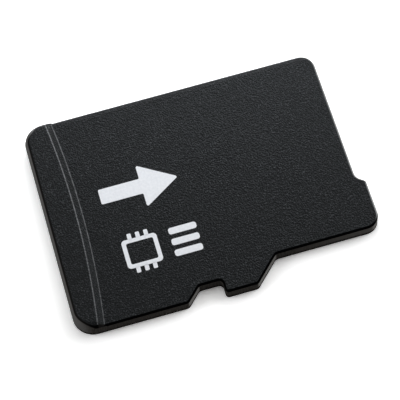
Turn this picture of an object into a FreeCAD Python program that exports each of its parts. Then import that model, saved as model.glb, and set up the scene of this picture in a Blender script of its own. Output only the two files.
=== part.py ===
import FreeCAD, Part
import math
import os

# A fingernail-sized memory card, lying label up on its underside. Millimetres.
# The origin is the middle of the underside. +X points to the end that goes into the socket, +Y to the
# straight long edge and +Z out of the label face. What the socket finds by touch, the contacts, the
# shoulder and the notch, is measured back from the nose, the foremost edge of the card.

# The outline that board and moulding share
card_length = 15.00
card_width = 11.00
rear_corner_radius = 1.00
front_corner_radius = 0.70
front_setback = 0.42            # the front edge lies this far behind the nose
nose_width = 2.40
nose_slope_run = 0.30           # measured along the front edge
nose_outer_radius = 0.20
nose_inner_radius = 0.45
shoulder_depth = 1.20           # the wide rear part stands out by this much, over a slope of 45 degrees
shoulder_from_nose = 6.35
shoulder_outer_radius = 0.25
shoulder_inner_radius = 0.30
notch_from_nose = 7.90          # to the steep wall that the socket's latch holds
notch_floor_length = 1.10
notch_depth = 0.68              # the ramp at the other end of the notch is a slope of 45 degrees
notch_ramp_radius = 0.25
notch_wall_radius = 0.16
notch_inner_radius = 0.20

# The contact row, in order from the notched edge to the straight edge. It fills the card's narrow front.
contact_names = ("data_2", "data_3", "command", "supply", "clock", "ground", "data_0", "data_1")
power_contacts = ("supply", "ground")
contact_spacing = 0.30          # bare board between two neighbours
contact_side_margin = 0.65      # bare board between the row and the side edges
contact_from_nose = 1.20
contact_length = 2.90
power_contact_lead = 0.40       # the power contacts reach further forward, so that they meet first
contact_corner_radius = 0.15
contact_thickness = 0.03
contact_recess = 0.02           # the contact faces lie this far inside the underside

# Thickness, measured up from the underside
board_thickness = 0.18
body_thickness = 0.70
ridge_thickness = 0.95
rim_radius = 0.10               # round the label face
ridge_rim_radius = 0.28         # round the three outer sides of the pull ridge

# The pull ridge across the rear end: a bowed crest with a slope down to the label face
ridge_length = 1.45             # rear edge to crest, where the crest is furthest forward
ridge_slope_run = 0.30
ridge_bow_radius = 44.0

# The two chips on top of the board, each on its own adhesive film
die_rear_wall = 0.90            # moulding between a chip and the card's edges
die_side_wall = 0.90
die_notch_wall = 0.70
memory_die_thickness = 0.15
controller_die_length = 2.00
controller_die_width = 3.40
controller_die_thickness = 0.15
film_thickness = 0.02

# Gold wires from the chips to plated fingers that lie flush in the top of the board
finger_length = 0.25
finger_width = 0.12
finger_thickness = 0.02
finger_reach = 0.30             # chip edge to finger
finger_row_gap = 0.45           # between the controller's rear row and the memory's row
finger_front_wall = 0.45        # front edge to the foremost row
memory_wire_count = 14
controller_wire_count = 7       # along each of the controller's two long sides
wire_diameter = 0.025
wire_sides = 8
wire_edge_inset = 0.10          # bond on the chip, in from the chip's edge
wire_side_inset = 0.25          # first and last bond, in from the chip's corners
wire_loop_height = 0.10
wire_stitch_height = 0.03

# The chip capacitors beside the controller
capacitor_length = 0.60
capacitor_width = 0.30
capacitor_height = 0.30
capacitor_end_length = 0.15
capacitor_end_proud = 0.012     # the metal ends stand out from the ceramic
capacitor_gap = 0.50

# Derived edges
nose_x = card_length / 2
rear_x = -card_length / 2
front_x = nose_x - front_setback
straight_y = card_width / 2
wide_y = -card_width / 2
narrow_y = wide_y + shoulder_depth
notch_floor_y = wide_y + notch_depth
row_middle_y = (narrow_y + straight_y) / 2
contact_pitch = (straight_y - narrow_y - 2 * contact_side_margin + contact_spacing) / len(contact_names)
contact_width = contact_pitch - contact_spacing
die_floor = board_thickness + film_thickness

# The chips' places: the controller is set back from the front edge by its fingers, and the memory fills
# what is left behind the rows of fingers
controller_front_x = front_x - finger_front_wall - finger_length - finger_reach
controller_rear_x = controller_front_x - controller_die_length
controller_near_y = row_middle_y - controller_die_width / 2
controller_far_y = row_middle_y + controller_die_width / 2
controller_rear_finger_x = controller_rear_x - finger_reach - finger_length
memory_finger_x = controller_rear_finger_x - finger_row_gap - finger_length
memory_front_x = memory_finger_x - finger_reach
memory_rear_x = rear_x + die_rear_wall
memory_near_y = notch_floor_y + die_notch_wall
memory_far_y = straight_y - die_side_wall


def rounded_wire(corners, z):
    """A closed wire at height z. Each corner is (x, y, radius) and is rounded by a tangent arc."""
    arcs = []
    for index, (x, y, radius) in enumerate(corners):
        here = FreeCAD.Vector(x, y, z)
        last = corners[index - 1]
        following = corners[(index + 1) % len(corners)]
        back = (FreeCAD.Vector(last[0], last[1], z) - here).normalize()
        ahead = (FreeCAD.Vector(following[0], following[1], z) - here).normalize()
        half_angle = back.getAngle(ahead) / 2
        trim = radius / math.tan(half_angle)
        to_arc = radius / math.sin(half_angle) - radius
        inward = (back + ahead).normalize()
        arcs.append((here + back * trim, here + inward * to_arc, here + ahead * trim))
    edges = []
    for index, (start, middle, end) in enumerate(arcs):
        next_start = arcs[(index + 1) % len(arcs)][0]
        edges.append(Part.Arc(start, middle, end).toShape())
        edges.append(Part.LineSegment(end, next_start).toShape())
    return Part.Wire(edges)


def prism(corners, bottom, top):
    """The rounded outline through the corners, filled from height bottom to height top."""
    return Part.Face(rounded_wire(corners, bottom)).extrude(FreeCAD.Vector(0, 0, top - bottom))


def block(x_range, y_range, z_range):
    """A box between the two values of each range."""
    size = [ends[1] - ends[0] for ends in (x_range, y_range, z_range)]
    return Part.makeBox(*size, FreeCAD.Vector(x_range[0], y_range[0], z_range[0]))


def spread(first, last, count):
    """Evenly spaced values, both ends included."""
    return [first + (last - first) * index / (count - 1) for index in range(count)]


def card_corners():
    """The outline, walked from the rear corner of the notched edge round by the nose."""
    notch_wall_x = nose_x - notch_from_nose
    notch_ramp_x = notch_wall_x - notch_floor_length
    shoulder_x = nose_x - shoulder_from_nose
    nose_y = narrow_y + nose_width
    return [
        (rear_x, wide_y, rear_corner_radius),
        (notch_ramp_x - notch_depth, wide_y, notch_ramp_radius),
        (notch_ramp_x, notch_floor_y, notch_inner_radius),
        (notch_wall_x, notch_floor_y, notch_inner_radius),
        (notch_wall_x, wide_y, notch_wall_radius),
        (shoulder_x, wide_y, shoulder_outer_radius),
        (shoulder_x + shoulder_depth, narrow_y, shoulder_inner_radius),
        (nose_x, narrow_y, front_corner_radius),
        (nose_x, nose_y, nose_outer_radius),
        (front_x, nose_y + nose_slope_run, nose_inner_radius),
        (front_x, straight_y, front_corner_radius),
        (rear_x, straight_y, rear_corner_radius),
    ]


def rim_edges(solid, height, front_x_limit):
    """The edges that bound the solid's top face, without any that lies as far forward as the limit."""
    rim = [edge for edge in solid.Edges if min(vertex.Z for vertex in edge.Vertexes) > height / 2]
    return [edge for edge in rim if edge.CenterOfMass.x < front_x_limit]


def label_slab():
    """The moulding below the label face, with its rim rounded all the way round."""
    slab = prism(card_corners(), board_thickness, body_thickness)
    return slab.makeFillet(rim_radius, rim_edges(slab, body_thickness, nose_x + rim_radius))


def pull_ridge():
    """The raised rear end, full height behind the crest and falling to the label face in front of it."""
    blank_front_x = rear_x + 2 * ridge_length
    rear_end = block((rear_x, blank_front_x), (wide_y, straight_y), (board_thickness, ridge_thickness))
    blank = prism(card_corners(), board_thickness, ridge_thickness).common(rear_end)
    outer_rim = rim_edges(blank, ridge_thickness, blank_front_x - ridge_rim_radius)
    blank = blank.makeFillet(ridge_rim_radius, outer_rim)
    # The slope is a cone about an upright axis far behind the card, opposite the middle of the contact row.
    # It runs on below the label face, until it dies out in the rounded rim.
    slope_foot = body_thickness - rim_radius
    height = ridge_thickness - slope_foot
    foot_radius = ridge_bow_radius + ridge_slope_run * height / (ridge_thickness - body_thickness)
    bow_centre = FreeCAD.Vector(rear_x + ridge_length - ridge_bow_radius, row_middle_y, slope_foot)
    return blank.common(Part.makeCone(foot_radius, ridge_bow_radius, height, bow_centre))


def moulding():
    """The black compound as it leaves the mould, before anything that lies in it is taken out."""
    return label_slab().fuse(pull_ridge()).removeSplitter()


def contact(index, bottom):
    """One contact, or with bottom at zero its opening in the board, up to where the contact is bonded."""
    lead = power_contact_lead if contact_names[index] in power_contacts else 0
    front = nose_x - contact_from_nose
    near = narrow_y + contact_side_margin + index * contact_pitch
    corners = [
        (front - contact_length, near, contact_corner_radius),
        (front + lead, near, contact_corner_radius),
        (front + lead, near + contact_width, contact_corner_radius),
        (front - contact_length, near + contact_width, contact_corner_radius),
    ]
    return prism(corners, bottom, contact_recess + contact_thickness)


def chip(x_range, y_range, thickness):
    """A chip and the film below it, which is cut to the chip's own outline."""
    film = block(x_range, y_range, (board_thickness, die_floor))
    die = block(x_range, y_range, (die_floor, die_floor + thickness))
    return die, film


def finger_row(start_x, bond_ys):
    """Plated fingers flush in the top of the board, one for each bond, forward from start_x."""
    flush = (board_thickness - finger_thickness, board_thickness)
    along = (start_x, start_x + finger_length)
    return [block(along, (y - finger_width / 2, y + finger_width / 2), flush) for y in bond_ys]


def bond_wire(die_x, die_top, finger_x, y):
    """A fine wire that rises from the chip, runs down past its edge and ends on a finger."""
    bond = FreeCAD.Vector(die_x, y, die_top)
    path = [
        bond,
        FreeCAD.Vector(die_x, y, die_top + wire_loop_height),
        FreeCAD.Vector(finger_x, y, board_thickness + wire_stitch_height),
        FreeCAD.Vector(finger_x, y, board_thickness),
    ]
    turns = [2 * math.pi * side / wire_sides for side in range(wire_sides + 1)]
    rays = [FreeCAD.Vector(math.cos(turn), math.sin(turn), 0) for turn in turns]
    section = Part.makePolygon([bond + ray * (wire_diameter / 2) for ray in rays])
    right_corners = 1
    return Part.makePolygon(path).makePipeShell([section], True, False, right_corners)


def capacitor(middle_x, middle_y):
    """A ceramic block between two metal ends, which stand out from it on every side but the soldered one."""
    start_x = middle_x - capacitor_length / 2
    near_y = middle_y - capacitor_width / 2
    top = board_thickness + capacitor_height
    across = (near_y, near_y + capacitor_width)
    ceramic = block(
        (start_x, start_x + capacitor_length),
        (across[0] + capacitor_end_proud, across[1] - capacitor_end_proud),
        (board_thickness, top - capacitor_end_proud))
    ends = []
    for end_x in (start_x, start_x + capacitor_length - capacitor_end_length):
        ends.append(block((end_x, end_x + capacitor_end_length), across, (board_thickness, top)))
    return ceramic.fuse(ends).removeSplitter()


# The chips with their films
memory_die, memory_die_film = chip(
    (memory_rear_x, memory_front_x), (memory_near_y, memory_far_y), memory_die_thickness)
controller_die, controller_die_film = chip(
    (controller_rear_x, controller_front_x), (controller_near_y, controller_far_y), controller_die_thickness)

# The memory has its bonds along the front edge only
memory_bond_ys = spread(memory_near_y + wire_side_inset, memory_far_y - wire_side_inset, memory_wire_count)
memory_bond_x = memory_front_x - wire_edge_inset
memory_fingers = finger_row(memory_finger_x, memory_bond_ys)
memory_wires = [
    bond_wire(memory_bond_x, die_floor + memory_die_thickness, memory_finger_x + finger_length / 2, y)
    for y in memory_bond_ys]

# The controller has them along its front and its rear edge
controller_bond_ys = spread(
    controller_near_y + wire_side_inset, controller_far_y - wire_side_inset, controller_wire_count)
controller_fingers = []
controller_wires = []
for bond_x, row_x in (
        (controller_front_x - wire_edge_inset, controller_front_x + finger_reach),
        (controller_rear_x + wire_edge_inset, controller_rear_finger_x)):
    controller_fingers += finger_row(row_x, controller_bond_ys)
    controller_wires += [
        bond_wire(bond_x, die_floor + controller_die_thickness, row_x + finger_length / 2, y)
        for y in controller_bond_ys]

# Two capacitors stand between the controller and the straight edge, and one on the controller's other side
capacitor_step = (capacitor_length + capacitor_gap) / 2
controller_middle_x = (controller_front_x + controller_rear_x) / 2
far_capacitor_y = controller_far_y + capacitor_gap + capacitor_width / 2
near_capacitor_y = controller_near_y - capacitor_gap - capacitor_width / 2
supply_capacitor = capacitor(controller_middle_x + capacitor_step, far_capacitor_y)
core_capacitor = capacitor(controller_middle_x - capacitor_step, far_capacitor_y)
memory_capacitor = capacitor(controller_middle_x, near_capacitor_y)

# The board has an opening for every contact underneath and for every finger on top
contact_indexes = range(len(contact_names))
board_openings = [contact(index, 0) for index in contact_indexes]
substrate_board = prism(card_corners(), 0, board_thickness)
substrate_board = substrate_board.cut(board_openings + memory_fingers + controller_fingers)

# The compound flows round everything that stands on the board
chips_and_films = [memory_die, memory_die_film, controller_die, controller_die_film]
capacitors = [supply_capacitor, core_capacitor, memory_capacitor]
moulded_body = moulding().cut(chips_and_films + capacitors + memory_wires + controller_wires)

nodes = {
    "moulded_body": moulded_body,
    "substrate_board": substrate_board,
    "memory_die": memory_die,
    "memory_die_film": memory_die_film,
    "memory_bond_wires": Part.makeCompound(memory_wires),
    "memory_bond_fingers": Part.makeCompound(memory_fingers),
    "controller_die": controller_die,
    "controller_die_film": controller_die_film,
    "controller_bond_wires": Part.makeCompound(controller_wires),
    "controller_bond_fingers": Part.makeCompound(controller_fingers),
    "supply_capacitor": supply_capacitor,
    "core_capacitor": core_capacitor,
    "memory_capacitor": memory_capacitor,
}
for index in contact_indexes:
    nodes["contact_" + contact_names[index]] = contact(index, contact_recess)

os.makedirs("parts", exist_ok=True)
for name, shape in nodes.items():
    shape.exportStep("parts/" + name + ".step")
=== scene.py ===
import math

import bmesh
import bpy
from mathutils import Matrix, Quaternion, Vector


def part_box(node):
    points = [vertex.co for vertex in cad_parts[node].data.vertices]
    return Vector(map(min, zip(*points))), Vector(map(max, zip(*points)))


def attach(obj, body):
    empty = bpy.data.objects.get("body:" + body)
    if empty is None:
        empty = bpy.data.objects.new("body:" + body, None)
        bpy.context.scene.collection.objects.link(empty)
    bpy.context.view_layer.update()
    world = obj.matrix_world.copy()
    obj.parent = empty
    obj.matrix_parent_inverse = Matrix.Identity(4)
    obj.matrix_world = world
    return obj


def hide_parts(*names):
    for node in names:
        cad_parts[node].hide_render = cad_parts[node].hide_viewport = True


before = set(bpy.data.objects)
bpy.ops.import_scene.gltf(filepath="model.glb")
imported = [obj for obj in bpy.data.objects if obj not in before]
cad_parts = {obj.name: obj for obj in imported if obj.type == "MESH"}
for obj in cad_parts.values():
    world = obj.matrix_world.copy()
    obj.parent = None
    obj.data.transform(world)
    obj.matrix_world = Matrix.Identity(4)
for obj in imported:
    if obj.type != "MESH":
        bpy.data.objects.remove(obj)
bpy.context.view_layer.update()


# The board: a thin sheet of glass laminate with black solder resist on both faces and copper under the resist.
# It is sawn out together with the moulding above it, so its bare edge is the lowest band of the card's wall,
# and the plating bars of the contacts end there as bright copper dots along the front.
mm = 0.001


class Socket:
    """A socket of a node tree. Arithmetic on it adds Math nodes, and add() adds any other node."""

    def __init__(self, tree, socket=None):
        self.tree = tree
        self.socket = socket

    def fill(self, target, value):
        if isinstance(value, Socket):
            self.tree.links.new(value.socket, target)
        else:
            target.default_value = value

    def add(self, kind, settings=None, sockets=None, output=0):
        """Adds a node with these settings, values and links, and gives one of its outputs if it has any."""
        node = self.tree.nodes.new(kind)
        for name, value in (settings or {}).items():
            setattr(node, name, value)
        for name, value in (sockets or {}).items():
            self.fill(node.inputs[name], value)
        return Socket(self.tree, node.outputs[output]) if node.outputs else None

    def math(self, operation, *values):
        return self.add("ShaderNodeMath", {"operation": operation}, dict(enumerate((self, *values))))

    def __add__(self, other):
        return self.math("ADD", other)

    def __radd__(self, other):
        return self.math("ADD", other)

    def __sub__(self, other):
        return self.math("SUBTRACT", other)

    def __rsub__(self, other):
        return self.add("ShaderNodeMath", {"operation": "SUBTRACT"}, {0: other, 1: self})

    def __mul__(self, other):
        return self.math("MULTIPLY", other)

    def __rmul__(self, other):
        return self.math("MULTIPLY", other)

    def __truediv__(self, other):
        return self.math("DIVIDE", other)

    def __abs__(self):
        return self.math("ABSOLUTE")

    def step(self, low, high):
        """Zero below low, one above high, with a soft change between them."""
        ends = {"Value": self, "From Min": low, "From Max": high}
        return self.add("ShaderNodeMapRange", {"interpolation_type": "SMOOTHSTEP"}, ends)

    def tint(self, first, second):
        """A colour from first where this is zero to second where it is one."""
        first, second = [c if isinstance(c, Socket) else (*c, 1) for c in (first, second)]
        return self.add("ShaderNodeMix", {"data_type": "RGBA"}, {0: self, 6: first, 7: second}, 2)


class Finish:
    """A procedural material whose patterns lie on Object coordinates, in millimetres."""

    def __init__(self, name):
        self.material = bpy.data.materials.new(name)
        self.material.use_nodes = True
        self.tree = self.material.node_tree
        self.root = Socket(self.tree)
        inside = self.root.add("ShaderNodeTexCoord", output="Object")
        to_mm = {"operation": "SCALE"}
        self.place = self.root.add("ShaderNodeVectorMath", to_mm, {0: inside, "Scale": 1 / mm})
        self.x, self.y, self.z = [
            self.root.add("ShaderNodeSeparateXYZ", None, {0: self.place}, axis) for axis in range(3)]

    def stretched(self, x, y, z):
        """The coordinates with each axis scaled on its own, for a pattern that is drawn out along one of them."""
        return self.root.add("ShaderNodeVectorMath", {"operation": "MULTIPLY"}, {0: self.place, 1: (x, y, z)})

    def noise(self, scale, detail=2.0, roughness=0.5, distortion=0.0, at=None):
        sockets = {"Vector": at or self.place, "Scale": scale, "Detail": detail, "Roughness": roughness,
                   "Distortion": distortion}
        return self.root.add("ShaderNodeTexNoise", None, sockets)

    def facing_up(self):
        """One on faces that look up or down, zero on upright ones."""
        normal = self.root.add("ShaderNodeTexCoord", output="Normal")
        upright = self.root.add("ShaderNodeSeparateXYZ", None, {0: normal}, 2)
        return abs(upright).step(0.35, 0.65)

    def bump(self, height, depth):
        """The normal of a relief that is depth metres high where height is one."""
        return self.root.add("ShaderNodeBump", None, {"Strength": 1.0, "Distance": depth, "Height": height})

    def shade(self, **sockets):
        shader = self.tree.nodes["Principled BSDF"]
        for name, value in sockets.items():
            self.root.fill(shader.inputs[name.replace("_", " ")], value)
        return self.material

    def dull(self, mask, colour):
        """Mixes in a second surface, one without gloss, where the mask is one."""
        glossy = Socket(self.tree, self.tree.nodes["Principled BSDF"].outputs[0])
        bare = {"Base Color": colour, "Roughness": 1.0, "Specular IOR Level": 0.0}
        bare = self.root.add("ShaderNodeBsdfPrincipled", None, bare)
        mixed = self.root.add("ShaderNodeMixShader", None, {0: mask, 1: glossy, 2: bare})
        self.root.fill(self.tree.nodes["Material Output"].inputs["Surface"], mixed)


def dress(node, material):
    """Gives a CAD node its material and leaves its mesh alone."""
    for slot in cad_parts[node].material_slots:
        slot.material = material


contact_pitch = 1.10
first_contact_y = -3.25
trace_pitch = contact_pitch / 3
trace_jog = 0.55
bar_height = 0.05
# A count of pitches starts this far up, so that it is above zero on the whole board
first_count = 40.0


def off_contact(finish):
    """How far a point lies to the side of the nearest contact's middle line, in millimetres."""
    count = (finish.y - first_contact_y) / contact_pitch + (first_count + 0.5)
    return (count.math("FRACT") - 0.5) * contact_pitch


resist = Finish("board_resist")
flat = resist.facing_up()
# Copper under the resist: lines that run back from the contacts with one jog, and round vias in a loose grid
jogged_y = resist.y + trace_jog * resist.x.step(-1.4, -0.6) - trace_jog * resist.x.step(1.0, 1.8)
along_lines = (jogged_y / trace_pitch + first_count).math("FRACT")
lines = abs(along_lines - 0.5).step(0.18, 0.30)
routed = resist.x.step(-5.4, -5.3) * (1 - resist.x.step(2.9, 3.0)) * (1 - abs(resist.y - 0.5).step(3.9, 4.0))
cells = {"Vector": resist.stretched(1, 1, 0), "Scale": 0.8, "Randomness": 0.65}
via_distance = resist.root.add("ShaderNodeTexVoronoi", {"feature": "F1"}, cells)
vias = 1 - via_distance.step(0.13, 0.19)
copper = (lines * routed).math("MAXIMUM", vias)
orange_peel = resist.noise(4.5, detail=1.5)
speckle = resist.noise(18.0, detail=3.0, roughness=0.65)
# The sawn edge: laminate layers, with the ends of the plating bars low down along the front
layers = resist.noise(1.0, detail=3.0, at=resist.stretched(1.6, 1.6, 45.0))
bar = (1 - abs(off_contact(resist)).step(0.045, 0.06)) * (1 - abs(resist.z - bar_height).step(0.010, 0.016))
bar_ends = bar * resist.x.step(6.98, 7.02) * (1 - flat) * resist.y.step(-3.5, -3.4)
resist_colour = copper.tint((0.0085, 0.0095, 0.0090), (0.0125, 0.0135, 0.0125))
resist_colour = speckle.step(0.62, 0.80).tint(resist_colour, (0.022, 0.023, 0.022))
edge_colour = layers.step(0.30, 0.72).tint((0.0120, 0.0104, 0.0090), (0.0340, 0.0300, 0.0260))
edge_colour = bar_ends.tint(edge_colour, (0.62, 0.27, 0.12))
relief = copper * 0.75 + orange_peel * 0.22 + speckle * 0.05
resist.dull((1 - flat) * (1 - bar_ends), edge_colour)
dress("substrate_board", resist.shade(
    Base_Color=flat.tint(edge_colour, resist_colour),
    Roughness=0.62 - 0.26 * flat + 0.10 * speckle - 0.25 * bar_ends,
    Metallic=bar_ends,
    Normal=resist.bump(relief * flat + layers * (1 - flat) * 0.6, 0.010 * mm)))


# The contacts: copper pads plated with nickel and hard gold, bare in openings of the resist. Each has the fine
# satin of the plating bath, and dull wipe marks where the springs of a socket have slid along it.
wipe_wander = 0.10

plating = Finish("contact_plating")
satin = plating.noise(38.0, detail=3.0, roughness=0.6)
clouds = plating.noise(1.4, detail=2.0)
drawn = plating.noise(1.0, detail=3.0, roughness=0.6, at=plating.stretched(0.8, 34.0, 1.0))
wipe_noise = plating.noise(1.0, detail=2.0, at=plating.stretched(0.5, 9.0, 1.0))
wipe_track = 1 - abs(off_contact(plating) + wipe_wander * (wipe_noise - 0.5)).step(0.05, 0.17)
wiped = wipe_track * plating.x.step(3.7, 4.2) * (1 - plating.x.step(5.7, 6.1)) * drawn.step(0.38, 0.62)
gold = clouds.step(0.30, 0.75).tint((0.78, 0.50, 0.17), (0.86, 0.60, 0.25))
gold = wiped.tint(gold, (0.66, 0.45, 0.20))
plating_material = plating.shade(
    Base_Color=gold,
    Metallic=1.0,
    Roughness=0.24 + 0.10 * satin + 0.16 * wiped,
    Normal=plating.bump(satin * 0.35 + drawn * 0.30 - wiped * 0.45, 0.004 * mm))
for contact in ("data_2", "data_3", "command", "supply", "clock", "ground", "data_0", "data_1"):
    dress("contact_" + contact, plating_material)


# The chips: two thinned slices of silicon on adhesive films, the large one the memory with its planes of cells
# and the small one the controller with its mixed blocks, both with a ground back and a bright circuit side.
def chip_finish(name, block_length, block_width, first_tone, second_tone):
    """Silicon whose top shows circuit blocks of the given size in millimetres, and whose sides are sawn."""
    chip = Finish(name)
    top = chip.facing_up()
    bricks = {"Vector": chip.stretched(1, 1, 0), "Color1": (*first_tone, 1), "Color2": (*second_tone, 1),
              "Mortar": (0.30, 0.30, 0.27, 1), "Scale": 1.0, "Mortar Size": 0.018, "Brick Width": block_length,
              "Row Height": block_width}
    blocks = chip.root.add("ShaderNodeTexBrick", {"offset": 0.0}, bricks)
    fine_rows = chip.noise(1.0, detail=2.0, at=chip.stretched(2.0, 60.0, 1.0))
    sawn = chip.noise(1.0, detail=2.0, at=chip.stretched(40.0, 40.0, 3.0))
    shimmer = fine_rows.step(0.35, 0.65).tint(blocks, (0.15, 0.17, 0.21))
    return chip.shade(
        Base_Color=top.tint(sawn.tint((0.05, 0.05, 0.055), (0.11, 0.11, 0.12)), shimmer),
        Metallic=0.55,
        Roughness=0.42 - 0.26 * top + 0.08 * fine_rows,
        Normal=chip.bump(fine_rows * top * 0.3 + sawn * (1 - top), 0.002 * mm))


dress("memory_die", chip_finish("memory_silicon", 2.30, 4.10, (0.10, 0.11, 0.14), (0.13, 0.12, 0.15)))
dress("controller_die", chip_finish("controller_silicon", 0.45, 0.62, (0.09, 0.12, 0.13), (0.16, 0.14, 0.13)))

film = Finish("die_film")
flow = film.noise(2.2, detail=3.0, distortion=0.6)
filler = film.noise(22.0, detail=2.0)
film_material = film.shade(
    Base_Color=flow.step(0.25, 0.75).tint((0.34, 0.27, 0.16), (0.50, 0.43, 0.30)),
    Roughness=0.46 + 0.14 * filler,
    Normal=film.bump(filler, 0.003 * mm))
dress("memory_die_film", film_material)
dress("controller_die_film", film_material)


# The wires and fingers: gold wire bonded to the chips and stitched to soft gold fingers in the board's top.
# The wire keeps the draw marks of its die, and the fingers the grain of the plating.
wire = Finish("bond_wire")
draw_marks = wire.noise(1.0, detail=2.0, at=wire.stretched(12.0, 160.0, 12.0))
wire_material = wire.shade(
    Base_Color=draw_marks.tint((0.84, 0.57, 0.20), (0.95, 0.72, 0.33)),
    Metallic=1.0,
    Roughness=0.16 + 0.12 * draw_marks,
    Normal=wire.bump(draw_marks, 0.001 * mm))
finger = Finish("bond_finger")
bath_grain = finger.noise(45.0, detail=3.0, roughness=0.65)
finger_material = finger.shade(
    Base_Color=bath_grain.tint((0.76, 0.50, 0.19), (0.90, 0.67, 0.31)),
    Metallic=1.0,
    Roughness=0.30 + 0.18 * bath_grain,
    Normal=finger.bump(bath_grain, 0.002 * mm))
for chip in ("memory", "controller"):
    dress(chip + "_bond_wires", wire_material)
    dress(chip + "_bond_fingers", finger_material)


# The capacitors: layers of ceramic and metal fired into small blocks, with both ends metallised and tinned.
# Solder holds each one flat to the board beside the controller, where it steadies the supply.
def capacitor_finish(node):
    """Brown ceramic in the middle of the node's length and bright tin over both of its ends."""
    low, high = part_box(node)
    middle_x = (low.x + high.x) / 2 / mm
    half_length = (high.x - low.x) / 2 / mm
    end_length = 0.15
    tin_start = half_length - end_length
    block = Finish(node + "_finish")
    tinned = abs(block.x - middle_x).step(tin_start - 0.004, tin_start + 0.004)
    pores = block.noise(40.0, detail=2.0)
    frost = block.noise(16.0, detail=3.0, roughness=0.6)
    ceramic = pores.step(0.25, 0.80).tint((0.26, 0.17, 0.10), (0.42, 0.31, 0.21))
    tin = frost.tint((0.58, 0.58, 0.57), (0.78, 0.78, 0.76))
    return block.shade(
        Base_Color=tinned.tint(ceramic, tin),
        Metallic=tinned,
        Roughness=0.58 - 0.26 * tinned + 0.14 * frost,
        Normal=block.bump(pores * (1 - tinned) + frost * tinned, 0.004 * mm))


for node in ("supply_capacitor", "core_capacitor", "memory_capacitor"):
    dress(node, capacitor_finish(node))


# The moulding: black epoxy compound pressed over the board in a heated mould, one solid with everything in it.
# The mould's spark-eroded grain is on its faces, the rim round them is smooth, and the walls below are sawn.
# A bowed slope leads up to the pull ridge at the rear, and its two edges carry painted highlights.
board_top = 0.18
label_height = 0.70
ridge_height = 0.95
label_rim = 0.10
ridge_rim = 0.28
slope_run = 0.30
bow_radius = 44.0
bow_x = -50.05
bow_y = 0.60
edge_softening = 0.016
side_y = 5.50
body_corners = (
    (-7.50, -5.50, 1.00), (-2.18, -5.50, 0.25), (-1.50, -4.82, 0.20), (-0.40, -4.82, 0.20), (-0.40, -5.50, 0.16),
    (1.15, -5.50, 0.25), (2.35, -4.30, 0.30), (7.50, -4.30, 0.70), (7.50, -1.90, 0.20), (7.08, -1.60, 0.45),
    (7.08, 5.50, 0.70), (-7.50, 5.50, 1.00))
corner_step = math.radians(6)
rim_rows = 10
label_insets = [label_rim * (1 - math.cos(math.radians(90 * row / rim_rows))) for row in range(rim_rows + 1)]
ridge_insets = [0.0, 0.0025, 0.010, 0.025, 0.050, 0.075, 0.100, 0.140, 0.190, 0.235, 0.280]
slope_radii = [bow_radius + run for run in (
    -0.019, -0.010, 0.000, 0.010, 0.019, 0.045, 0.080, 0.115, 0.150, 0.185, 0.220, 0.250,
    0.281, 0.290, 0.300, 0.310, 0.319, 0.340, 0.360, 0.380, 0.400, 0.420, 0.440)]
slope_rows = 40
switch_run = 0.10


def corner_arc(corners, index, radius):
    """The arc that rounds a corner of an outline: its centre, and the rays to its two ends."""
    here = Vector(corners[index][:2])
    back = (Vector(corners[index - 1][:2]) - here).normalized()
    ahead = (Vector(corners[(index + 1) % len(corners)][:2]) - here).normalized()
    half = back.angle(ahead) / 2
    centre = here + (back + ahead).normalized() * (radius / math.sin(half))
    start = here + back * (radius / math.tan(half)) - centre
    end = here + ahead * (radius / math.tan(half)) - centre
    return centre, start, end


def corner_stations(index):
    """Points round one rounded corner of the outline, each with the direction into the card."""
    centre, start, end = corner_arc(body_corners, index, body_corners[index][2])
    outward_corner = start.x * end.y - start.y * end.x > 0
    turn = start.angle(end) if outward_corner else -start.angle(end)
    steps = max(2, math.ceil(abs(turn) / corner_step))
    stations = []
    for step in range(steps + 1):
        angle = turn * step / steps
        ray = Vector((start.x * math.cos(angle) - start.y * math.sin(angle),
                      start.x * math.sin(angle) + start.y * math.cos(angle)))
        stations.append((centre + ray, -ray.normalized() if outward_corner else ray.normalized()))
    return stations


def bow_point(radius, y):
    """Where a bowed line of the slope crosses a given y."""
    return Vector((bow_x + math.sqrt(radius ** 2 - (y - bow_y) ** 2), y))


# Stations round the outline, each a column of plan points from the wall inwards
columns = []
for point, inward in corner_stations(0):
    columns.append([point + inward * inset for inset in ridge_insets])
near_band = [[bow_point(radius, inset - side_y) for inset in ridge_insets] for radius in slope_radii]
far_band = [[bow_point(radius, side_y - inset) for inset in ridge_insets] for radius in slope_radii]
near_first = len(columns)
columns += near_band
near_last = len(columns) - 1
near_switch = near_band[-1][-1].x + switch_run
columns.append([Vector((near_switch, inset - side_y)) for inset in label_insets])
for index in range(1, len(body_corners) - 1):
    for point, inward in corner_stations(index):
        columns.append([point + inward * inset for inset in label_insets])
far_switch = far_band[-1][-1].x + switch_run
columns.append([Vector((far_switch, side_y - inset)) for inset in label_insets])
far_last = len(columns)
columns += far_band[::-1]
far_first = len(columns) - 1
for point, inward in corner_stations(len(body_corners) - 1):
    columns.append([point + inward * inset for inset in ridge_insets])

# The flat plan: foot of the wall, then the rows of the rim, then the slope between its two ends
count = len(columns)
rows = len(ridge_insets)
plan_points = [column[0] for column in columns]
plan_insets = [0.0] * count
plan_foot = [1.0] * count
for row in range(rows):
    for number, column in enumerate(columns):
        in_label = near_last < number < far_last
        plan_points.append(column[row])
        plan_insets.append((label_insets if in_label else ridge_insets)[row])
        plan_foot.append(0.0)


def ring(row, number):
    """The index of a plan point: row -1 is the foot of the wall and the last row the edge of the flat faces."""
    return (row + 1) * count + number % count


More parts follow.
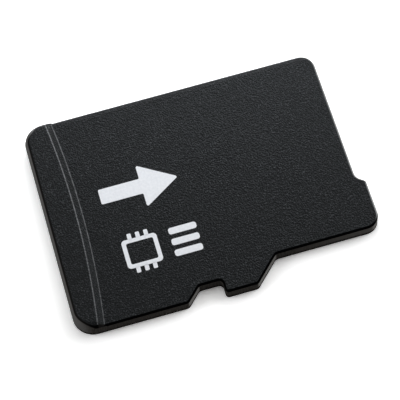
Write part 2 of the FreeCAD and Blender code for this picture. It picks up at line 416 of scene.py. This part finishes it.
faces = []
for row in range(-1, rows - 1):
    for number in range(count):
        lower = (ring(row, number), ring(row, number + 1))
        upper = (ring(row + 1, number + 1), ring(row + 1, number))
        faces.append(lower + upper)
bowed_lines = []
for offset, radius in enumerate(slope_radii):
    line = [ring(rows - 1, near_first + offset)]
    for row in range(1, slope_rows):
        y = (side_y - ridge_rim) * (2 * row / slope_rows - 1)
        line.append(len(plan_points))
        plan_points.append(bow_point(radius, y))
        plan_insets.append(ridge_rim)
        plan_foot.append(0.0)
    line.append(ring(rows - 1, far_first - offset))
    bowed_lines.append(line)
for line, following in zip(bowed_lines, bowed_lines[1:]):
    for row in range(slope_rows):
        faces.append((line[row], following[row], following[row + 1], line[row + 1]))
label_edge = [ring(rows - 1, number) for number in range(near_last, far_last + 1)]
ridge_edge = [ring(rows - 1, number) for number in range(far_first, count + near_first + 1)]
faces.append(label_edge + bowed_lines[-1][-2:0:-1])
faces.append(ridge_edge + bowed_lines[0][1:-1])
faces.append([ring(-1, number) for number in range(count)][::-1])

plan = bpy.data.meshes.new("overmould_plan")
plan.from_pydata([(point.x * mm, point.y * mm, 0.0) for point in plan_points], [], faces, shade_flat=False)
plan.attributes.new("inset", "FLOAT", "POINT").data.foreach_set("value", [inset * mm for inset in plan_insets])
plan.attributes.new("wall_foot", "FLOAT", "POINT").data.foreach_set("value", plan_foot)
for edge in plan.edges:
    edge.use_edge_sharp = all(vertex < count for vertex in edge.vertices)


def start_nodes(name, sizes):
    """A geometry tree with a named input for each size. Returns it, its starting socket and its size inputs."""
    tree = bpy.data.node_groups.new(name, "GeometryNodeTree")
    tree.interface.new_socket("Geometry", in_out="INPUT", socket_type="NodeSocketGeometry")
    tree.interface.new_socket("Geometry", in_out="OUTPUT", socket_type="NodeSocketGeometry")
    for size in sizes:
        tree.interface.new_socket(size, in_out="INPUT", socket_type="NodeSocketFloat")
    start = Socket(tree).add("NodeGroupInput", output="Geometry")
    inputs = {size: Socket(tree, start.socket.node.outputs[size]) for size in sizes}
    return tree, start, inputs


def end_nodes(geometry, material):
    """Closes a geometry tree with plain realized geometry in one material."""
    real = geometry.add("GeometryNodeRealizeInstances", None, {0: geometry})
    dressed = real.add("GeometryNodeSetMaterial", None, {"Geometry": real, "Material": material})
    dressed.add("NodeGroupOutput", None, {"Geometry": dressed})


def grow(name, mesh, tree, sizes, modifiers=()):
    """A plain mesh object from a geometry tree, its sizes in millimetres, and any modifiers that follow it."""
    source = bpy.data.objects.new(name + "_source", mesh)
    bpy.context.scene.collection.objects.link(source)
    modifier = source.modifiers.new("shape", "NODES")
    modifier.node_group = tree
    for item in tree.interface.items_tree:
        if item.in_out == "INPUT" and item.name in sizes:
            modifier[item.identifier] = sizes[item.name] * mm
    for kind, settings in modifiers:
        extra = source.modifiers.new(kind.lower(), kind)
        for setting, value in settings.items():
            setattr(extra, setting, value)
    graph = bpy.context.evaluated_depsgraph_get()
    shaped = bpy.data.meshes.new_from_object(
        source.evaluated_get(graph), preserve_all_data_layers=True, depsgraph=graph)
    shaped.name = name
    bpy.data.objects.remove(source)
    grown = bpy.data.objects.new(name, shaped)
    bpy.context.scene.collection.objects.link(grown)
    return grown


# The rule of the moulding's height: whichever is higher, the label face with its rim, or the ridge with its own
# rim cut down by the cone of the slope
mould_sizes = {"Board Top": board_top, "Label Height": label_height, "Ridge Height": ridge_height,
               "Label Rim": label_rim, "Ridge Rim": ridge_rim, "Slope Run": slope_run, "Bow Radius": bow_radius,
               "Bow X": bow_x, "Bow Y": bow_y, "Edge Softening": edge_softening}
mould_tree, mould_start, size = start_nodes("moulding_height", mould_sizes)
place = mould_start.add("GeometryNodeInputPosition")
at_x, at_y = [place.add("ShaderNodeSeparateXYZ", None, {0: place}, axis) for axis in range(2)]
inset = place.add("GeometryNodeInputNamedAttribute", {"data_type": "FLOAT"}, {"Name": "inset"})
foot = place.add("GeometryNodeInputNamedAttribute", {"data_type": "FLOAT"}, {"Name": "wall_foot"})


def rounded_rim(height, radius):
    """The height of a flat face whose rim is rounded by the radius, at the inset of each point."""
    gap = (radius - inset).math("MAXIMUM", 0.0)
    return height - radius + (radius * radius - gap * gap).math("SQRT")


def plan_distance(x, y, axis_x, axis_y):
    """How far points lie from an upright axis, seen in plan."""
    return ((x - axis_x).math("POWER", 2.0) + (y - axis_y).math("POWER", 2.0)).math("SQRT")


from_axis = plan_distance(at_x, at_y, size["Bow X"], size["Bow Y"])
steepness = (size["Ridge Height"] - size["Label Height"]) / size["Slope Run"]
slope = size["Ridge Height"] - (from_axis - size["Bow Radius"]) * steepness
ridge = rounded_rim(size["Ridge Height"], size["Ridge Rim"]).math("SMOOTH_MIN", slope, size["Edge Softening"])
crown = ridge.math("SMOOTH_MAX", rounded_rim(size["Label Height"], size["Label Rim"]), size["Edge Softening"])
level = crown + (size["Board Top"] - crown) * foot
raised = place.add("ShaderNodeCombineXYZ", None, {"X": at_x, "Y": at_y, "Z": level})
mould_geometry = mould_start.add("GeometryNodeSetPosition", None, {"Geometry": mould_start, "Position": raised})

# Its finish. First where things are: the sawn wall, which reaches further up the rim at the rear, the grained
# face, the slanted walls of the notch and the shoulder, and the rim, painted pale as a highlight and glossy at the
# front and far edges and painted near black as shade elsewhere
rear_cut = 0.150
compound = Finish("moulding_compound")
from_edge = compound.root.add("ShaderNodeAttribute", {"attribute_name": "inset"}, output="Fac") / mm
down_wall = compound.root.add("ShaderNodeAttribute", {"attribute_name": "wall_foot"}, output="Fac")
rear_end = 1 - compound.x.step(-7.25, -6.50)
past_cut = from_edge - rear_cut * rear_end
wall = down_wall.step(0.0, 0.04).math("MAXIMUM", 1 - past_cut.step(-0.02, 0.0))
face = past_cut.step(0.070, 0.098)
outward = compound.root.add("ShaderNodeTexCoord", output="Normal")
to_right, to_back = [compound.root.add("ShaderNodeSeparateXYZ", None, {0: outward}, axis) for axis in range(2)]
# The slanted walls of the notch and the shoulder, which get painted light
painted_lit_slants = to_right.step(0.25, 0.60) * (1 - to_right.step(0.80, 0.97))
front_end = compound.x.step(5.5, 6.0) * (1 - (0 - to_back).step(0.05, 0.35))
# The rim's sides that face right at the front end or face back: they get a gloss coat and a painted highlight
gloss_and_painted_highlight_sides = (to_right.step(0.06, 0.25) * front_end).math("MAXIMUM", to_back.step(0.08, 0.35))
# Painted shade: the rim away from the front and far edges, painted near black and dull
painted_shade_rim = (1 - face) * (1 - gloss_and_painted_highlight_sides)
bow_distance = plan_distance(compound.x, compound.y, bow_x, bow_y)
past_crest = bow_distance.step(bow_radius, bow_radius + 0.03)
past_foot = bow_distance.step(bow_radius + slope_run - 0.03, bow_radius + slope_run)
slope_end = past_crest * (1 - past_foot)
# Then the patterns: specks and pits of the grain, the saw's marks, and painted highlights on the slope's two edges
# and along the far edge, broken up by noise and stronger towards the far side
pit_depth = 0.033
grain = compound.noise(14.0, detail=2.0, roughness=0.60, distortion=0.3)
pits = compound.noise(12.5, detail=0.0, at=compound.stretched(1.25, 1.0, 1.0))
saw_marks = compound.noise(1.0, detail=3.0, at=compound.stretched(26.0, 26.0, 2.2))
# Painted highlights: the slope's crest and foot lines and a band along the far edge are painted pale where light
# catches them
crest_line = 1 - abs(bow_distance - bow_radius).step(0.010, 0.040)
foot_line = 1 - abs(bow_distance - bow_radius - slope_run).step(0.010, 0.036)
highlight_noise = compound.noise(11.0, detail=2.0, roughness=0.6)
to_far_side = compound.y.step(-7.5, 6.5)
painted_edge_highlights = crest_line.math("MAXIMUM", foot_line * 0.80) * face
painted_edge_highlights = painted_edge_highlights * (0.65 + 0.35 * to_far_side) * (0.45 + 0.55 * highlight_noise.step(0.36, 0.60))
painted_far_rim_highlight = (1 - from_edge.step(0.05, 0.14)) * compound.y.step(5.2, 5.3) * highlight_noise.step(0.26, 0.62)
painted_edge_highlights = painted_edge_highlights.math("MAXIMUM", 0.17 * painted_far_rim_highlight)
# Then the colours, with painted light on the walls: paler towards the front, where they slant, and at the rear, as
# if lit there
face_colour = grain.step(0.52, 0.70).tint((0.0001, 0.0002, 0.0003), (0.0272, 0.0291, 0.0310))
sawn_wall_and_painted_light = saw_marks.step(0.28, 0.74).tint((0.0260, 0.0236, 0.0215), (0.0520, 0.0480, 0.0440))
# Painted light: the sawn wall colour is painted paler towards the front, on the slanted walls and on the rear wall
sawn_wall_and_painted_light = (0.8 * compound.x.step(2.5, 7.0)).tint(sawn_wall_and_painted_light, (0.080, 0.076, 0.071))
sawn_wall_and_painted_light = painted_lit_slants.tint(sawn_wall_and_painted_light, (0.175, 0.168, 0.160))
sawn_wall_and_painted_light = (rear_end * (0 - to_right).step(0.10, 0.70)).tint(sawn_wall_and_painted_light, (0.092, 0.089, 0.086))
# Painted shade: the rim's near black colour, a little paler at the rear and where the slope ends
painted_rim_shade = rear_end.tint((0.0010, 0.0010, 0.0011), (0.0080, 0.0076, 0.0072))
painted_rim_shade = slope_end.tint(painted_rim_shade, (0.0110, 0.0104, 0.0100))
# The rim's painted shade and the walls with their painted light are mixed in as a dull surface without gloss
compound.dull(wall.math("MAXIMUM", painted_shade_rim), wall.tint(painted_rim_shade, sawn_wall_and_painted_light))
# Painted highlight: the rim is painted pale on those sides, and painted near black as shade on the rest
painted_rim_tones = gloss_and_painted_highlight_sides.tint((0.0012, 0.0012, 0.0013), (0.0480, 0.0500, 0.0515))
compound_colour = face.tint(painted_rim_tones, face_colour)
compound_colour = wall.tint(compound_colour, sawn_wall_and_painted_light)
# Painted highlight: the pale colour laid on the slope's two edges and along the far edge
compound_colour = painted_edge_highlights.tint(compound_colour, (0.170, 0.176, 0.182))
compound_material = compound.shade(
    Base_Color=compound_colour,
    Roughness=0.34 + 0.03 * face + 0.26 * wall + 0.40 * face * (0.5 - grain),
    Specular_IOR_Level=0.165,
    Specular_Tint=(0.94, 1.0, 1.05, 1),
    Coat_Weight=(1 - face) * gloss_and_painted_highlight_sides * (1 - wall),
    Coat_Roughness=0.30,
    Coat_IOR=2.0,
    Normal=compound.bump(pits * face + saw_marks * wall * 0.1, pit_depth * mm))
end_nodes(mould_geometry, compound_material)

# The hollows that the chips, wires and capacitors fill, reaching a little below so that they open at the board
film_top = 0.200
hollow_depth = 0.05
merge_gap = 0.0001
hollows = bmesh.new()
for node in ("memory_die", "controller_die", "memory_bond_wires", "controller_bond_wires", "supply_capacitor",
             "core_capacitor", "memory_capacitor"):
    hollows.from_mesh(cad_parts[node].data)
bmesh.ops.remove_doubles(hollows, verts=hollows.verts, dist=merge_gap * mm)
for vertex in hollows.verts:
    if vertex.co.z < (film_top + 0.001) * mm:
        vertex.co.z = (board_top - hollow_depth) * mm
hollow_mesh = bpy.data.meshes.new("hollows")
hollows.to_mesh(hollow_mesh)
hollows.free()
hollow_form = bpy.data.objects.new("hollows", hollow_mesh)
bpy.context.scene.collection.objects.link(hollow_form)
overmould = grow("overmould", plan, mould_tree, mould_sizes, (
    ("BOOLEAN", {"operation": "DIFFERENCE", "object": hollow_form, "solver": "EXACT", "use_self": True}),
    ("WEIGHTED_NORMAL", {"keep_sharp": True})))
bpy.data.objects.remove(hollow_form)
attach(overmould, "root")
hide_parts("moulded_body")


# The print: white ink laid on the label face by a soft pad in one pass, a thin film that follows the grain under it.
# It holds plain signs only, an arrow for the way in, a chip outline and a stack of bars.
ink_top = label_height + 0.008
ink_foot = label_height - 0.004
arc_steps = 6

ink = Finish("white_ink")
ink_grain = ink.noise(8.5, detail=2.5, roughness=0.55, distortion=0.35)
pinholes = ink.noise(24.0, detail=2.0, roughness=0.6)
ink_colour = ink_grain.step(0.25, 0.80).tint((0.70, 0.72, 0.755), (0.78, 0.795, 0.825))
ink_colour = pinholes.step(0.70, 0.80).tint(ink_colour, (0.52, 0.53, 0.56))
ink_material = ink.shade(
    Base_Color=ink_colour,
    Roughness=0.50 + 0.12 * pinholes,
    Specular_IOR_Level=0.30,
    Normal=ink.bump(ink_grain, 0.003 * mm))


def rounded_outline(corners, radius):
    """The points of a polygon whose corners are rounded."""
    points = []
    for index in range(len(corners)):
        centre, start, end = corner_arc(corners, index, radius)
        for step in range(arc_steps + 1):
            ray = start.lerp(end, step / arc_steps).normalized() * radius
            points.append(centre + ray)
    return points


def printed(name, outlines):
    """A flat ink film with one island for each outline; a pair of outlines is a ring."""
    form = bmesh.new()
    for outline in outlines:
        loops = outline if isinstance(outline, tuple) else (outline,)
        edges = []
        for loop in loops:
            verts = [form.verts.new((point.x * mm, point.y * mm, ink_foot * mm)) for point in loop]
            edges += [form.edges.new((verts[i - 1], verts[i])) for i in range(len(verts))]
        bmesh.ops.triangle_fill(form, use_beauty=True, use_dissolve=False, edges=edges)
    raised_faces = bmesh.ops.extrude_face_region(form, geom=form.faces[:])
    lifted = [item for item in raised_faces["geom"] if isinstance(item, bmesh.types.BMVert)]
    bmesh.ops.translate(form, verts=lifted, vec=(0, 0, (ink_top - ink_foot) * mm))
    bmesh.ops.recalc_face_normals(form, faces=form.faces[:])
    mesh = bpy.data.meshes.new(name)
    form.to_mesh(mesh)
    form.free()
    mesh.materials.append(ink_material)
    piece = bpy.data.objects.new(name, mesh)
    bpy.context.scene.collection.objects.link(piece)
    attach(piece, "root")


arrow_corners = ((-4.75, 0.52), (-2.72, 0.52), (-2.72, -0.22), (-0.92, 0.92), (-2.72, 2.06), (-2.72, 1.32),
                 (-4.75, 1.32))
printed("print_arrow", [rounded_outline(arrow_corners, 0.07)])

chip_left, chip_right, chip_near, chip_far = -4.40, -2.70, -3.10, -1.60
chip_stroke = 0.20


def chip_corners(inset):
    """The corners of the chip sign, drawn in by the inset."""
    left, right, near, far = chip_left + inset, chip_right - inset, chip_near + inset, chip_far - inset
    return (left, near), (right, near), (right, far), (left, far)


printed("print_chip", [(
    rounded_outline(chip_corners(0.0), 0.18), rounded_outline(chip_corners(chip_stroke), 0.08))])

# The chip sign's legs and the bars are rows of one shape
row_sizes = {"Length": 0.0, "Width": 0.0, "Step X": 0.0, "Step Y": 0.0, "Start X": 0.0, "Start Y": 0.0,
             "Foot": ink_foot, "Film": ink_top - ink_foot, "Corner": 0.0}


def printed_row(name, number, sizes):
    """Equal rounded bars of ink in a row, from the middle of the first one."""
    tree, start, row_size = start_nodes(name + "_row", row_sizes)
    origin = start.add("ShaderNodeCombineXYZ", None, {
        "X": row_size["Start X"], "Y": row_size["Start Y"], "Z": row_size["Foot"]})
    offset = start.add("ShaderNodeCombineXYZ", None, {"X": row_size["Step X"], "Y": row_size["Step Y"]})
    points = start.add("GeometryNodeMeshLine", {"mode": "OFFSET"}, {
        "Count": number, "Start Location": origin, "Offset": offset})
    outline = start.add("GeometryNodeCurvePrimitiveQuadrilateral", None, {
        "Width": row_size["Length"], "Height": row_size["Width"]})
    soft = start.add("GeometryNodeFilletCurve", {"mode": "POLY"}, {
        "Curve": outline, "Count": arc_steps, "Radius": row_size["Corner"]})
    film_face = start.add("GeometryNodeFillCurve", {"mode": "NGONS"}, {"Curve": soft})
    back_face = start.add("GeometryNodeFlipFaces", None, {"Mesh": film_face})
    thick = start.add("GeometryNodeExtrudeMesh", {"mode": "FACES"}, {
        "Mesh": film_face, "Offset Scale": row_size["Film"], "Individual": False})
    closed = start.add("GeometryNodeJoinGeometry")
    for part in (back_face, thick):
        start.fill(closed.socket.node.inputs[0], part)
    merged = start.add("GeometryNodeMergeByDistance", None, {"Geometry": closed, "Distance": merge_gap * mm})
    placed = start.add("GeometryNodeInstanceOnPoints", None, {"Points": points, "Instance": merged})
    end_nodes(placed, ink_material)
    piece = grow(name, bpy.data.meshes.new(name + "_seed"), tree, {**row_sizes, **sizes})
    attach(piece, "root")


leg_reach = 0.13
leg = {"Length": 0.20, "Width": 0.30, "Step X": 0.40, "Start X": -3.95, "Corner": 0.05}
printed_row("print_chip_legs_near", 3, {**leg, "Start Y": chip_near - leg_reach})
printed_row("print_chip_legs_far", 3, {**leg, "Start Y": chip_far + leg_reach})
printed_row("print_bars", 3, {
    "Length": 1.35, "Width": 0.34, "Step Y": 0.58, "Start X": -1.45, "Start Y": -2.93, "Corner": 0.12})


# The stage: a plain white floor, a low strip light behind the card with a small one at its far right for the sheen
# on the label face, soft lights at both sides, and the camera where the photograph was taken from.
reach = 0.6
floor_mesh = bpy.data.meshes.new("floor")
floor_mesh.from_pydata(
    [(-reach, -reach, 0), (reach, -reach, 0), (reach, reach, 0), (-reach, reach, 0)], [], [(0, 1, 2, 3)])
floor = bpy.data.objects.new("floor", floor_mesh)
bpy.context.scene.collection.objects.link(floor)
paper = Finish("floor_paper")
paper_tone = paper.noise(0.05, detail=2.0)
camera_ray, glossy_ray, transmission_ray = [paper.root.add("ShaderNodeLightPath", output=f"Is {kind} Ray")
                                            for kind in ("Camera", "Glossy", "Transmission")]
in_sight = camera_ray.math("MAXIMUM", glossy_ray).math("MAXIMUM", transmission_ray)
paper_colour = paper_tone.tint((0.945, 0.942, 0.938), (0.955, 0.952, 0.948))
floor_mesh.materials.append(paper.shade(
    Base_Color=in_sight.tint(paper_colour, (1.59, 1.587, 1.582)),
    Roughness=0.9,
    Specular_IOR_Level=0.0))


def soft_light(name, position, aim, width, depth, power):
    """A rectangular soft light that looks at a point."""
    lamp = bpy.data.lights.new(name, "AREA")
    lamp.shape = "RECTANGLE"
    lamp.size = width
    lamp.size_y = depth
    lamp.energy = power
    lamp.color = (0.975, 1.0, 1.03)
    light = bpy.data.objects.new(name, lamp)
    light.location = position
    light.rotation_mode = "QUATERNION"
    light.rotation_quaternion = (Vector(aim) - Vector(position)).to_track_quat("-Z", "Y")
    bpy.context.scene.collection.objects.link(light)


soft_light("back_strip", (0.003, 0.017, 0.012), (0.002, 0.004, 0), 0.030, 0.006, 0.00198)
soft_light("far_right", (0.010, 0.020, 0.020), (0.005, 0.006, 0), 0.016, 0.012, 0.00115)
soft_light("left", (-0.070, 0.010, 0.050), (0, 0, 0), 0.050, 0.050, 0.0185)
soft_light("right", (0.070, 0.010, 0.050), (0, 0, 0), 0.050, 0.050, 0.0215)

world = bpy.data.worlds.new("studio")
world.use_nodes = True
tent = Socket(world.node_tree)
direction = tent.add("ShaderNodeTexCoord", output="Generated")
towards_right, towards_back = [tent.add("ShaderNodeSeparateXYZ", None, {0: direction}, axis) for axis in range(2)]
tent_side = towards_right.step(-0.3, 0.3).tint((0.506, 0.500, 0.490), (0.810, 0.800, 0.785))
tent_tone = towards_back.step(-0.55, 0.05).tint((0.18, 0.18, 0.18), tent_side)
tent.fill(world.node_tree.nodes["Background"].inputs["Color"], tent_tone)
bpy.context.scene.world = world
bpy.context.scene.view_settings.view_transform = "Standard"

lens = bpy.data.cameras.new("camera")
lens.lens = 167.83
lens.sensor_width = 36.0
lens.clip_start = 0.005
lens.clip_end = 5.0
camera = bpy.data.objects.new("camera", lens)
camera.location = (-7.436 * mm, -39.206 * mm, 79.143 * mm)
sight = Vector((-0.194 * mm, -0.262 * mm, 0.0)) - camera.location
roll = Quaternion((0, 0, 1), math.radians(-5.943))
camera.rotation_mode = "QUATERNION"
camera.rotation_quaternion = sight.to_track_quat("-Z", "Y") @ roll
bpy.context.scene.collection.objects.link(camera)
bpy.context.scene.camera = camera
